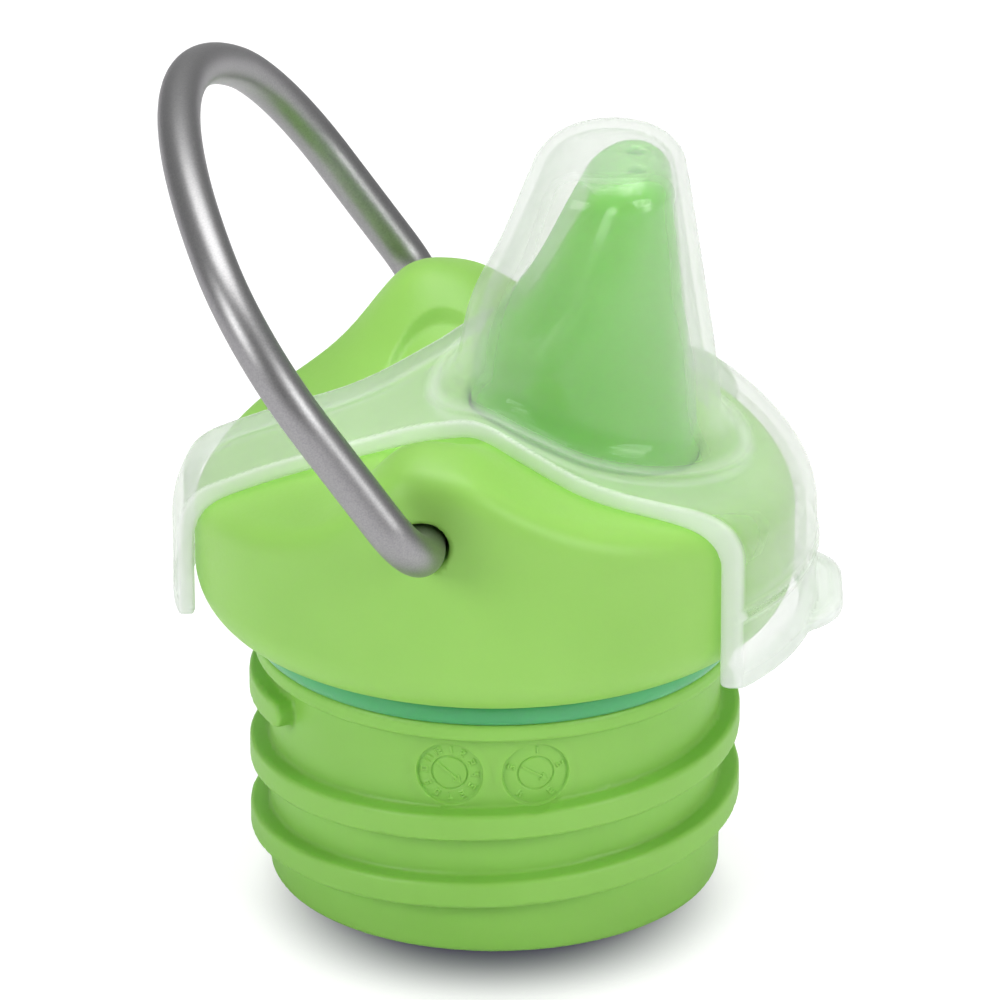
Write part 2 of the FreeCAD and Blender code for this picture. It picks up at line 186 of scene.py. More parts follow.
DOME_OUTLINE = np.array([(36, -4.4, 22.6, 13.5), (46.0, -4.0, 21.5, 12.8), (53.0, -3.3, 20.7, 12.2),
                         (57.5, -2.2, 20.0, 11.8), (62.5, 0.4, 19.2, 11.3), (68.0, 2.7, 18.3, 10.6),
                         (70.9, 3.9, 17.8, 10.2), (80, 7.2, 16.2, 9.2)])
DOME_TIP_ROUND = 3.0
DOME_FLATTER = 1.9
DOME_TOP = COVER_HIGH.z - DOME_FLATTER
DOME_FOOT_BLEND = 3.0
FOOT_RING_OFFSET = 2.2            # fine raised ring round the dome's foot
FOOT_RING_HEIGHT = 0.08
FOOT_RING_HALF = 0.45
TAB_HALF = 9.5
TAB_CORNER = 7.0
TAB_THICKNESS = 1.4
TAB_LIFT = 0.8                    # over the bottom of the cover's rim
TAB_ROUND = 0.3
TAB_BEAD = 0.3

WIRE_RADIUS = 2.0
WIRE_END_ROUND = 0.5
BAIL_TILT = math.radians(35.1)
BAIL_HALF_WIDTH = 33.9
BAIL_LEG = 17.1
BAIL_CORNER = 18.5
BAIL_CORNER_ANGLE = math.radians(57.6)
BAIL_FOOT_BEND = 6.0
BAIL_FOOT_END = 20.2


# ---- smooth solids --------------------------------------------------------------------------

def smooth_min(a, b, soft):
    mix = np.clip(0.5 + 0.5 * (b - a) / soft, 0, 1)
    return b + (a - b) * mix - soft * mix * (1 - mix)


def smooth_max(a, b, soft):
    return -smooth_min(-a, -b, soft)


def round_max(a, b, radius):
    """The solid inside both a and b, its corner rounded to an exact radius."""
    outside = np.hypot(np.maximum(a + radius, 0), np.maximum(b + radius, 0))
    return np.minimum(np.maximum(a, b), -radius) + outside


def smooth_step(value):
    t = np.clip(value, 0, 1)
    return t * t * (3 - 2 * t)


def joined_smoothly(points, x):
    """A smooth curve through (place, value) points, read at every x."""
    places, values = points[:, 0], points[:, 1]
    slopes = np.gradient(values, places)
    index = np.clip(np.searchsorted(places, x) - 1, 0, len(places) - 2)
    width = places[index + 1] - places[index]
    t = (x - places[index]) / width
    start = values[index] * (1 + 2 * t) * (1 - t) ** 2 + slopes[index] * width * t * (1 - t) ** 2
    end = values[index + 1] * (3 - 2 * t) * t ** 2 - slopes[index + 1] * width * (1 - t) * t ** 2
    return start + end


CORNERS = [(i, j, k) for i in (0, 1) for j in (0, 1) for k in (0, 1)]
CELL_EDGES = [(a, b) for a in CORNERS for b in CORNERS
              if a < b and sum(p != q for p, q in zip(a, b)) == 1]


def crossing_points(value, cells):
    """For each cell that the surface passes through, the mean point where it cuts the cell's edges."""
    total = np.zeros((len(cells), 3))
    hits = np.zeros((len(cells), 1))
    for a, b in CELL_EDGES:
        at_a = value[tuple((cells + a).T)]
        at_b = value[tuple((cells + b).T)]
        crossed = (at_a < 0) != (at_b < 0)
        share = np.where(crossed, at_a / np.where(crossed, at_a - at_b, 1), 0)[:, None]
        point = cells + np.array(a) + share * (np.array(b) - np.array(a))
        total += point * crossed[:, None]
        hits += crossed[:, None]
    return total / hits


def surface_quads(inside, number):
    """Quads joining the four cells round each grid edge that the surface crosses."""
    quads = []
    for axis in range(3):
        u, v = (axis + 1) % 3, (axis + 2) % 3
        first = np.moveaxis(np.moveaxis(inside, axis, 0)[:-1], 0, axis)
        second = np.moveaxis(np.moveaxis(inside, axis, 0)[1:], 0, axis)
        edges = np.argwhere(first != second)
        step_u, step_v = np.eye(3, dtype=int)[u], np.eye(3, dtype=int)[v]
        around = [edges, edges - step_u, edges - step_u - step_v, edges - step_v]
        quad = np.stack([number[tuple(cell.T)] for cell in around], axis=1)
        outward = first[tuple(edges.T)]
        quads.append(np.where(outward[:, None], quad, quad[:, ::-1]))
    return np.concatenate(quads)


def gradient(field, points, nudge):
    x, y, z = points.T
    return np.stack([field(x + nudge, y, z) - field(x - nudge, y, z),
                     field(x, y + nudge, z) - field(x, y - nudge, z),
                     field(x, y, z + nudge) - field(x, y, z - nudge)], axis=1) / (2 * nudge)


def settle(field, points, cell):
    """Move each point along the field's gradient until it lies on the surface."""
    for _ in range(3):
        slope = gradient(field, points, 0.02)
        step = field(*points.T)[:, None] * slope / np.maximum((slope ** 2).sum(axis=1), 0.05)[:, None]
        points = points - np.clip(step, -cell / 3, cell / 3)
    return points


def solid_mesh(field, low, high, cell):
    """Points and quads of the surface where field(x, y, z) is zero, by the surface nets method."""
    margin = 2.5 * cell
    axes = [np.arange(lo - margin, hi + margin, cell) for lo, hi in zip(low, high)]
    x, y, z = np.meshgrid(*axes, indexing="ij", sparse=True)
    value = field(x, y, z)
    inside = value < 0
    shape = tuple(n - 1 for n in value.shape)
    count = np.zeros(shape, int)
    for i, j, k in CORNERS:
        count += inside[i:i + shape[0], j:j + shape[1], k:k + shape[2]]
    active = (count > 0) & (count < 8)
    cells = np.argwhere(active)
    number = np.full(shape, -1)
    number[active] = np.arange(len(cells))
    start = np.array([axis[0] for axis in axes])
    points = start + cell * crossing_points(value, cells)
    return settle(field, points, cell), surface_quads(inside, number)


def add_piece(name, points, faces, material, body, slot, node=None):
    """Make a smooth-shaded object from millimetre points, and let it ride on its CAD body."""
    mesh = bpy.data.meshes.new(name)
    mesh.from_pydata((np.asarray(points) * MM).tolist(), [], [tuple(int(i) for i in face) for face in faces])
    mesh.validate()
    mesh.shade_smooth()
    piece = bpy.data.objects.new(name, mesh)
    bpy.context.scene.collection.objects.link(piece)
    piece.data.materials.append(material)
    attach(piece, body)
    if node:
        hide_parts(node)
    return piece


# ---- materials ------------------------------------------------------------------------------

def srgb(red, green, blue):
    """Linear colour with alpha from the 0 to 255 values that a screen shows."""
    def linear(value):
        share = value / 255
        return share / 12.92 if share <= 0.04045 else ((share + 0.055) / 1.055) ** 2.4
    return (linear(red), linear(green), linear(blue), 1.0)


class Nodes:
    """A short way to write a node material."""

    def __init__(self, name):
        self.material = bpy.data.materials.new(name)
        self.material.use_nodes = True
        self.tree = self.material.node_tree
        self.tree.nodes.clear()

    def add(self, kind, inputs=None, **settings):
        node = self.tree.nodes.new(kind)
        for key, value in settings.items():
            setattr(node, key, value)
        for key, value in (inputs or {}).items():
            if isinstance(value, bpy.types.NodeSocket):
                self.tree.links.new(value, node.inputs[key])
            else:
                node.inputs[key].default_value = value
        return node

    def coordinates(self):
        return self.add("ShaderNodeTexCoord").outputs["Object"]

    def noise(self, scale, detail=3.0, roughness=0.5, vector=None):
        where = vector or self.coordinates()
        inputs = {"Scale": scale, "Detail": detail, "Roughness": roughness, "Vector": where}
        return self.add("ShaderNodeTexNoise", inputs).outputs["Fac"]

    def ramp(self, factor, low, high, start=0.3, end=0.7):
        node = self.add("ShaderNodeValToRGB", {"Fac": factor})
        node.color_ramp.elements[0].position = start
        node.color_ramp.elements[1].position = end
        node.color_ramp.elements[0].color = low
        node.color_ramp.elements[1].color = high
        return node.outputs["Color"]

    def blend(self, factor, first, second):
        """Colour mixed from first to second as factor goes from 0 to 1."""
        inputs = {"Fac": factor, "Color1": first, "Color2": second}
        return self.add("ShaderNodeMixRGB", inputs).outputs["Color"]

    def span(self, factor, low, high, start=0.0):
        """Factor's range from start to 1, stretched to run from low to high."""
        inputs = {"Value": factor, "From Min": start, "To Min": low, "To Max": high}
        return self.add("ShaderNodeMapRange", inputs).outputs["Result"]

    def bump(self, height, strength, distance):
        inputs = {"Height": height, "Strength": strength, "Distance": distance}
        return self.add("ShaderNodeBump", inputs).outputs["Normal"]

    def finish(self, shader):
        self.add("ShaderNodeOutputMaterial", {"Surface": shader})
        return self.material


def moulded_plastic(name, shade, tint, grain):
    """Matte coloured polypropylene: faint flow clouds in the colour and a fine moulded grain."""
    n = Nodes(name)
    clouds = n.noise(60.0, 2.0)
    colour = n.ramp(clouds, srgb(*shade), srgb(*tint))
    fine = n.noise(2600.0, 2.0)
    shader = n.add("ShaderNodeBsdfPrincipled", {
        "Base Color": colour,
        "Roughness": n.span(fine, 0.38, 0.52),
        "IOR": 1.49,
        "Subsurface Weight": 0.18,
        "Subsurface Radius": (0.6, 1.0, 0.25),
        "Subsurface Scale": 0.0022,
        "Normal": n.bump(fine, grain, 0.00004),
    })
    return n.finish(shader.outputs["BSDF"])


def soft_silicone(name, shade, tint, rough):
    n = Nodes(name)
    colour = n.ramp(n.noise(45.0, 2.0), srgb(*shade), srgb(*tint))
    skin = n.noise(900.0, 2.0)
    shader = n.add("ShaderNodeBsdfPrincipled", {
        "Base Color": colour,
        "Roughness": n.span(skin, rough - 0.05, rough + 0.05),
        "IOR": 1.43,
        "Subsurface Weight": 0.6,
        "Subsurface Radius": (0.5, 1.0, 0.4),
        "Subsurface Scale": 0.004,
        "Coat Weight": 0.3,
        "Coat Roughness": 0.12,
        "Normal": n.bump(skin, 0.08, 0.00005),
    })
    return n.finish(shader.outputs["BSDF"])


def satin_steel(name):
    """Stainless wire: fine draw lines that run along it soften the reflections."""
    n = Nodes(name)
    uv = n.add("ShaderNodeTexCoord").outputs["UV"]
    stretched = n.add("ShaderNodeMapping", {"Vector": uv, "Scale": (20.0, 160.0, 1.0)}).outputs["Vector"]
    lines = n.noise(6.0, 4.0, 0.6, stretched)
    grain = n.noise(6000.0, 2.0)
    shader = n.add("ShaderNodeBsdfPrincipled", {
        "Base Color": n.ramp(grain, srgb(154, 154, 155), srgb(170, 169, 169)),
        "Metallic": 1.0,
        "Roughness": n.span(lines, 0.36, 0.5),
        "Normal": n.bump(lines, 0.08, 0.00002),
    })
    return n.finish(shader.outputs["BSDF"])


def milky_clear(name):
    """Clear polypropylene: a faint white haze that thickens at grazing angles and at its cut edges, and
    painted white highlights round the dome's foot and beside the rib, read from a mesh attribute.
    """
    n = Nodes(name)
    facing = n.add("ShaderNodeLayerWeight", {"Blend": 0.3}).outputs["Facing"]
    # per point: the plastic's haze, plus the painted highlights at the dome's foot and the rib
    haze_and_highlight = n.add("ShaderNodeAttribute", attribute_name="haze_and_highlight").outputs["Fac"]
    flow = n.noise(90.0, 3.0)
    skin = n.noise(700.0, 2.0)
    veil = n.add("ShaderNodeMath", {0: n.span(facing, 0.045, 0.4), 1: n.span(flow, -0.02, 0.02)},
                 operation="ADD").outputs["Value"]
    haze = n.add("ShaderNodeMath", {0: veil, 1: n.span(haze_and_highlight, 0.0, 0.64)}, operation="ADD",
                 use_clamp=True).outputs["Value"]
    normal = n.bump(skin, 0.04, 0.00003)
    white = n.add("ShaderNodeBsdfPrincipled", {
        "Base Color": n.ramp(flow, srgb(230, 238, 231), srgb(240, 245, 240)),
        "Roughness": 0.4,
        "Specular IOR Level": 0.0,
        "Subsurface Weight": 0.6,
        "Subsurface Radius": (1.0, 1.0, 1.0),
        "Subsurface Scale": 0.004,
        "Normal": normal,
    }).outputs["BSDF"]
    clear = n.add("ShaderNodeBsdfTransparent", {"Color": (0.97, 0.972, 0.965, 1)}).outputs["BSDF"]
    body = n.add("ShaderNodeMixShader", {"Fac": haze, 1: clear, 2: white}).outputs["Shader"]
    gloss = n.add("ShaderNodeBsdfGlossy", {"Roughness": 0.07, "Color": (1, 1, 1, 1), "Normal": normal})
    rake = n.add("ShaderNodeLayerWeight", {"Blend": 0.12, "Normal": normal}).outputs["Facing"]
    glossed = n.add("ShaderNodeMixShader", {"Fac": n.span(rake, 0.012, 0.36, 0.08), 1: body,
                                            2: gloss.outputs["BSDF"]}).outputs["Shader"]
    shadow = n.add("ShaderNodeLightPath").outputs["Is Shadow Ray"]
    let_through = n.add("ShaderNodeBsdfTransparent", {"Color": (0.94, 0.95, 0.94, 1)}).outputs["BSDF"]
    both = n.add("ShaderNodeMixShader", {"Fac": shadow, 1: glossed, 2: let_through})
    return n.finish(both.outputs["Shader"])


CROWN_GREEN = moulded_plastic("crown_green", (150, 208, 92), (157, 214, 99), 0.25)
STEM_GREEN = moulded_plastic("stem_green", (140, 200, 84), (148, 207, 92), 0.2)
SPOUT_GREEN = soft_silicone("spout_green", (128, 208, 86), (138, 214, 94), 0.22)
GASKET_GREEN = soft_silicone("gasket_green", (70, 170, 105), (84, 180, 118), 0.35)
WIRE_STEEL = satin_steel("wire_steel")
CLEAR_PLASTIC = milky_clear("clear_plastic")


# ---- crown ----------------------------------------------------------------------------------

def roof(x, y):
    """Height of the crown's top: a ridge line along X, and two hills that carry the bail."""
    along = x - HILL_CENTRE[0]
    across = np.abs(y) - HILL_CENTRE[1]
    along_spread = np.where(along < 0, HILL_REAR_SPREAD, HILL_FRONT_SPREAD)
    across_spread = np.where(across < 0, HILL_INNER_SPREAD, HILL_OUTER_SPREAD)
    hill = np.exp(-0.5 * (along / along_spread) ** 2 - 0.5 * (across / across_spread) ** 2)
    return joined_smoothly(ROOF_LINE, x) + HILL_HEIGHT * hill


def scoop(x, y):
    """Depth of the shallow pocket on the inner face of each hill."""
    reach = np.hypot((x - SCOOP_CENTRE[0]) / SCOOP_REACH[0], (np.abs(y) - SCOOP_CENTRE[1]) / SCOOP_REACH[1])
    return SCOOP_DEPTH * smooth_step((1 - reach) / 0.22)


def above_roof(x, y, z, offset):
    """Roughly the distance above the roof moved up by offset."""
    nudge = 0.1
    height = roof(x, y)
    slope_x = (roof(x + nudge, y) - height) / nudge
    slope_y = (roof(x, y + nudge) - height) / nudge
    return (z - height - offset) / np.sqrt(1 + slope_x ** 2 + slope_y ** 2)


def shoulder_blend(x):
    """The edge between roof and wall is tighter at the rear than at the front."""
    share = smooth_step((x + 10) / 20)
    return REAR_SHOULDER_BLEND + (FRONT_SHOULDER_BLEND - REAR_SHOULDER_BLEND) * share


def crown_outside(x, y, z):
    bowl = round_max(np.hypot(x, y) - CROWN_RADIUS, CROWN_BOTTOM - z, BOWL_ROUND)
    return smooth_max(bowl, above_roof(x, y, z, 0.0) + scoop(x, y), shoulder_blend(x))


def crown_field(x, y, z):
    outside = crown_outside(x, y, z)
    from_spout = np.hypot(x - SPOUT_BASE_X, y)
    from_pivot = np.hypot(x - PIVOT_X, z - PIVOT_Z)
    well = from_spout - (SPOUT_BASE_RADIUS + CROWN_WALL)
    well = np.maximum(well, SPOUT_SEAT_BOTTOM - z)
    boss = np.maximum(from_pivot - BOSS_RADIUS, SOCKET_END - CROWN_WALL - np.abs(y))
    hollow = smooth_max(outside + CROWN_WALL, CROWN_FLOOR - z, CROWN_HOLLOW_BLEND)
    hollow = smooth_max(hollow, -well, CROWN_HOLLOW_BLEND)
    hollow = smooth_max(hollow, -boss, CROWN_HOLLOW_BLEND)
    shell = np.maximum(outside, -hollow)
    neck = np.maximum(np.hypot(x, y) - STEM_RADIUS, z - CROWN_FLOOR - 1)
    shell = smooth_max(shell, -neck, NECK_EDGE_BLEND)
    hole = np.maximum(from_spout - SPOUT_BASE_RADIUS - SPOUT_HOLE_CLEARANCE, SPOUT_SEAT_TOP - z)
    shell = smooth_max(shell, -hole, SPOUT_HOLE_BLEND)
    shell = np.maximum(shell, -np.maximum(from_spout - SPOUT_GROOVE_RADIUS, CROWN_FLOOR - z))
    socket = np.maximum(from_pivot - SOCKET_RADIUS, SOCKET_END - np.abs(y))
    return round_max(shell, -socket, SOCKET_ROUND)


# ---- stem and gasket ------------------------------------------------------------------------

def thread_field(x, y, z):
    """One right-handed ridge of squarish section with rounded edges and rounded ends."""
    angle = np.degrees(np.arctan2(y, x))
    turns = np.round((360 * (z - THREAD_ZERO_HEIGHT) / THREAD_PITCH - angle) / 360)
    wound = angle + 360 * turns
    away = np.abs(z - THREAD_ZERO_HEIGHT - THREAD_PITCH * wound / 360)
    past_end = np.maximum(THREAD_START - wound, wound - THREAD_END) * math.radians(STEM_RADIUS)
    side = round_max(away - THREAD_HALF_WIDTH, past_end, THREAD_HALF_WIDTH)
    return round_max(side, np.hypot(x, y) - THREAD_CREST, THREAD_EDGE_ROUND)


def stem_field(x, y, z):
    radius = np.hypot(x, y)
    bead = round_max(radius - BEAD_RADIUS, np.maximum(BEAD_BOTTOM - z, z - BEAD_TOP), BEAD_ROUND)
    side = smooth_min(radius - STEM_RADIUS, thread_field(x, y, z), THREAD_FOOT_BLEND)
    side = smooth_min(side, bead, BEAD_FOOT_BLEND)
    outside = round_max(side, np.maximum(STEM_LOW.z - z, z - STEM_TOP), STEM_EDGE_ROUND)
    groove = np.maximum(np.maximum(BEAD_TOP - z, z - CROWN_BOTTOM), GROOVE_RADIUS - radius)
    body = np.maximum(outside, -groove)
    dial = np.hypot(np.abs(x) - DIAL_OFFSET, z - DIAL_HEIGHT) - DIAL_RADIUS - DIAL_CLEARANCE
    dial = np.maximum(dial, np.maximum(STEM_RADIUS - DIAL_DEPTH - 0.3 - radius, y))
    body = np.maximum(body, -dial)
    return round_max(body, STEM_RADIUS - STEM_WALL - radius, STEM_EDGE_ROUND)


# a digit's seven strokes, ended in half widths and half heights, and the strokes that 0 to 9 use
SEGMENTS = [((-1, 1), (1, 1)), ((1, 1), (1, 0)), ((1, 0), (1, -1)), ((-1, -1), (1, -1)),
            ((-1, -1), (-1, 0)), ((-1, 0), (-1, 1)), ((-1, 0), (1, 0))]
DIGIT_SEGMENTS = ["012345", "12", "01346", "01236", "1256",
                  "02356", "023456", "012", "0123456", "012356"]


def from_segment(u, w, start, end):
    """Distance of (u, w) from a straight line between two points."""
    along = np.subtract(end, start)
    share = np.clip(((u - start[0]) * along[0] + (w - start[1]) * along[1]) / (along @ along), 0, 1)
    return np.hypot(u - start[0] - share * along[0], w - start[1] - share * along[1])


def from_number(u, w, number):
    """Distance of (u, w) from the strokes of a number centred on the origin."""
    digits = str(number)
    nearest = np.full(u.shape, 9.0)
    for place, digit in enumerate(digits):
        middle = (place - (len(digits) - 1) / 2) * DIGIT_SPACING * DIGIT_HALF[0]
        for segment in DIGIT_SEGMENTS[int(digit)]:
            start, end = [(middle + DIGIT_HALF[0] * a, DIGIT_HALF[1] * b)
                          for a, b in SEGMENTS[int(segment)]]
            nearest = np.minimum(nearest, from_segment(u, w, start, end))
    return nearest


def dial_relief(u, w, numbers, tail):
    """Height of the raised arrow and numbers, and of the cut ring, over the dial's face."""
    tip = -DIAL_TIP * np.array(tail)
    ahead = tip / np.linalg.norm(tip)
    beside = DIAL_BARB[1] * np.array([-ahead[1], ahead[0]])
    strokes = from_segment(u, w, tail, tip) - 0.03
    for barb in (tip - DIAL_BARB[0] * ahead + beside, tip - DIAL_BARB[0] * ahead - beside):
        strokes = np.minimum(strokes, from_segment(u, w, tip, barb) - 0.02)
    for index, number in enumerate(numbers):
        turn = 2 * math.pi * index / len(numbers)
        across = u * math.cos(turn) - w * math.sin(turn)
        outward = u * math.sin(turn) + w * math.cos(turn)
        strokes = np.minimum(strokes, from_number(across, outward - DIAL_NUMBERS, number))
    raised = DIAL_RELIEF * (1 - smooth_step((strokes - DIGIT_STROKE) / 0.05))
    ring = DIAL_RELIEF * (1 - smooth_step((np.abs(np.hypot(u, w) - DIAL_HUB) - 0.05) / 0.06))
    return raised - ring


def dial_face(side, numbers, tail):
    """Fine mesh of one date dial and its collar, bent to the stem's round side."""
    radii = np.linspace(0.02, DIAL_RADIUS + DIAL_FLANGE, 84)
    turns = np.linspace(0, 2 * math.pi, 240, endpoint=False)
    r, a = np.meshgrid(radii, turns, indexing="ij")
    u, w = (r * np.cos(a)).ravel(), (r * np.sin(a)).ravel()
    rise = smooth_step((r.ravel() - DIAL_RADIUS + 0.06) / 0.12)
    floor = STEM_RADIUS - DIAL_DEPTH + dial_relief(u, w, numbers, tail)
    out = floor + (STEM_RADIUS + 0.012 - floor) * rise
    x = side * DIAL_OFFSET + u
    points = np.stack([x, -np.sqrt(out ** 2 - x ** 2), DIAL_HEIGHT + w], axis=1)
    steps = len(turns)
    faces = [(i * steps + j, (i + 1) * steps + j,
              (i + 1) * steps + (j + 1) % steps, i * steps + (j + 1) % steps)
             for i in range(len(radii) - 1) for j in range(steps)]
    return points, faces + [tuple(range(steps))]


def lathe(outline, steps=360):
    """Closed ring mesh from a closed outline of (radius, height) points."""
    turn = np.linspace(0, 2 * math.pi, steps, endpoint=False)
    rings = [np.stack([r * np.cos(turn), r * np.sin(turn), np.full(steps, z)], axis=1)
             for r, z in outline]
    count = len(outline)
    faces = []
    for i in range(count):
        for j in range(steps):
            after_i, after_j = (i + 1) % count, (j + 1) % steps
            faces.append((i * steps + j, i * steps + after_j,
                          after_i * steps + after_j, after_i * steps + j))
    return np.concatenate(rings), faces


def gasket_outline():
    """Flat ring with a round outer edge, in its groove between the bead and the crown."""
    half = (CROWN_BOTTOM - GASKET_BOTTOM) / 2
    middle = GASKET_BOTTOM + half
    arc = np.linspace(-math.pi / 2, math.pi / 2, 9)
    outer = [(GASKET_RADIUS - GASKET_BULGE + GASKET_BULGE * math.cos(a), middle + half * math.sin(a))
             for a in arc]
    return [(GROOVE_RADIUS, GASKET_BOTTOM)] + outer + [(GROOVE_RADIUS, CROWN_BOTTOM)]


# ---- spout ----------------------------------------------------------------------------------

def lean_cone(outline, x, y, z):
    """Roughly the distance outside a leaning cone whose level sections have two straight sides along Y
    and rounded ends, and become circles where they are as wide as they are long."""
    rear = joined_smoothly(outline[:, [0, 1]], z)
    front = joined_smoothly(outline[:, [0, 2]], z)
    radius = (front - rear) / 2
    straight = np.maximum(joined_smoothly(outline[:, [0, 3]], z) - radius, 0)
    past_straight = np.maximum(np.abs(y) - straight, 0)
    return (np.hypot(x - (rear + front) / 2, past_straight) - radius) * 0.9


def spout_field(x, y, z):
    from_base = np.hypot(x - SPOUT_BASE_X, y)
    cone = lean_cone(SPOUT_OUTLINE, x, y, z)
    body = np.where(z < SPOUT_SEAT_TOP, from_base - SPOUT_GROOVE_RADIUS, cone)
    flange = smooth_max(from_base - SPOUT_FLANGE_RADIUS, z - SPOUT_SEAT_BOTTOM, 0.6)
    body = np.minimum(body, flange)
    body = round_max(body, z - SPOUT_TOP, SPOUT_TIP_ROUND)
    body = round_max(body, SPOUT_FLANGE_BOTTOM - z, 0.4)
    hollow = smooth_max(cone + SPOUT_WALL, z - SPOUT_TOP + SPOUT_WALL, 4.0)
    bore = from_base - SPOUT_GROOVE_RADIUS + SPOUT_WALL
    hollow = np.where(z < SPOUT_SEAT_TOP + 3, np.maximum(hollow, bore), hollow)
    body = smooth_max(body, -hollow, 0.4)
    tip_x = (SPOUT_OUTLINE[-1, 1] + SPOUT_OUTLINE[-1, 2]) / 2 - 1
    hole = np.hypot(x - tip_x, np.abs(y) - SIP_HOLE_SPREAD) - SIP_HOLE_RADIUS
    return smooth_max(body, -np.maximum(hole, SPOUT_TOP - SIP_HOLE_DEPTH - z), SIP_HOLE_BLEND)


# ---- dust cover -----------------------------------------------------------------------------

def cover_half_width(x):
    """Half width of the cover seen from above: a narrow strip that flares to the front hood."""
    rise = COVER_FRONT_HALF - COVER_STRIP_HALF
    run = COVER_FLARE_END - COVER_FLARE_START
    bend = (run ** 2 + rise ** 2) / (4 * rise)
    from_start = np.clip(x - COVER_FLARE_START, 0, run / 2)
    from_end = np.clip(COVER_FLARE_END - x, 0, run / 2)
    low = COVER_STRIP_HALF + bend - np.sqrt(bend ** 2 - from_start ** 2)
    high = COVER_FRONT_HALF - bend + np.sqrt(bend ** 2 - from_end ** 2)
    return np.where(x < (COVER_FLARE_START + COVER_FLARE_END) / 2, low, high)


def beside_cover(x, y):
    """Roughly the distance outside the cover's outline, seen from above."""
    nudge = 0.1
    half = cover_half_width(x)
    slope = (cover_half_width(x + nudge) - half) / nudge
    return (np.abs(y) - half) / np.sqrt(1 + slope ** 2)


def below_cover(x, z):
    return np.where(x < 0, COVER_REAR_BOTTOM, COVER_FRONT_BOTTOM) - z


def foot_ring(x, y, z):
    """1 on the fine ring round the dome's foot, 0 elsewhere."""
    from_middle = np.abs(lean_cone(DOME_OUTLINE, x, y, z) - FOOT_RING_OFFSET)
    return 1 - smooth_step(from_middle / FOOT_RING_HALF)


def cover_outside(x, y, z):
    wall = np.hypot(x, y) - COVER_RADIUS
    hood = smooth_max(wall, above_roof(x, y, z, COVER_LIFT), shoulder_blend(x) + COVER_EXTRA_BLEND)
    dome = round_max(lean_cone(DOME_OUTLINE, x, y, z), z - DOME_TOP, DOME_TIP_ROUND)
    return smooth_min(hood, dome, DOME_FOOT_BLEND) - FOOT_RING_HEIGHT * foot_ring(x, y, z)


def on_skirt(x, y):
    """1 on the cover's upright wall, 0 on its top."""
    return smooth_step((np.hypot(x, y) - SKIRT_START) / SKIRT_TURN)


def cover_tab(x, y, z):
    """Rounded tongue at the front with a bead along its edge."""
    outline = round_max(np.abs(y) - TAB_HALF, x - TAB_REACH, TAB_CORNER)
    middle = COVER_FRONT_BOTTOM + TAB_LIFT + TAB_THICKNESS / 2
    bead = TAB_BEAD * (1 - smooth_step((-outline - 0.9) / 0.5))
    tongue = round_max(outline, np.abs(z - middle) - TAB_THICKNESS / 2 + TAB_BEAD - bead, TAB_ROUND)
    inner_end = np.maximum(COVER_RADIUS - COVER_WALL / 2 - np.hypot(x, y), -x)
    return np.maximum(tongue, inner_end)


def cover_field(x, y, z):
    outside = cover_outside(x, y, z)
    skirt = on_skirt(x, y)
    edge = np.maximum(beside_cover(x, y), below_cover(x, z))
    thick = COVER_RIM_THICKNESS + (COVER_SKIRT_THICKNESS - COVER_RIM_THICKNESS) * skirt
    rim = 1 - smooth_step((-edge - COVER_RIM_WIDTH) / 1.4)
    beside_rib = np.abs(z - COVER_RIB_HEIGHT)
    rib = COVER_RIB_RELIEF * (1 - smooth_step(beside_rib / COVER_RIB_HALF)) * (x > 10) * skirt
    shell = np.maximum(outside - rib, -(outside + COVER_WALL + rim * (thick - COVER_WALL)))
    outline = round_max(beside_cover(x, y), below_cover(x, z), COVER_CORNER_ROUND)
    return smooth_min(round_max(shell, outline, COVER_EDGE_ROUND), cover_tab(x, y, z), COVER_TAB_BLEND)


def milkiness(x, y, z):
    """How hazy the cover looks: most on its cut edges, some on the thick lower rim and the tab; the white
    ring round the dome's foot and the lines beside the rib are painted highlights.
    """
    cut_edge = 1 - smooth_step((-beside_cover(x, y) - 0.1) / 0.5)
    lower_rim = 0.6 * (1 - smooth_step((-below_cover(x, z) - 1.5) / 0.5))
    lower_band = 0.16 * (1 - smooth_step((-below_cover(x, z) - 6.4) / 0.4)) * (x > 0)
    tab = np.where(np.hypot(x, y) > COVER_RADIUS + 0.3, 0.35, 0.0)
    # painted highlight: a white ring just inside the fine ring round the dome's foot
    from_foot_ring = np.abs(lean_cone(DOME_OUTLINE, x, y, z) - FOOT_RING_OFFSET + 0.4)
    foot = 0.34 * (1 - smooth_step(from_foot_ring / 0.9))
    # painted highlights: white lines along both edges of the rib on the skirt
    beside_rib = np.abs(np.abs(z - COVER_RIB_HEIGHT) - 0.7)
    rib_highlights = 0.4 * (1 - smooth_step(beside_rib / 0.35)) * (x > 8) * on_skirt(x, y)
    return np.maximum.reduce([cut_edge, lower_rim, lower_band, tab, foot, rib_highlights])


# ---- bail -----------------------------------------------------------------------------------

def arc_points(centre, radius, start, end, steps):
    angles = np.linspace(start, end, steps)
    return [(centre[0] + radius * math.cos(a), centre[1] + radius * math.sin(a)) for a in angles]


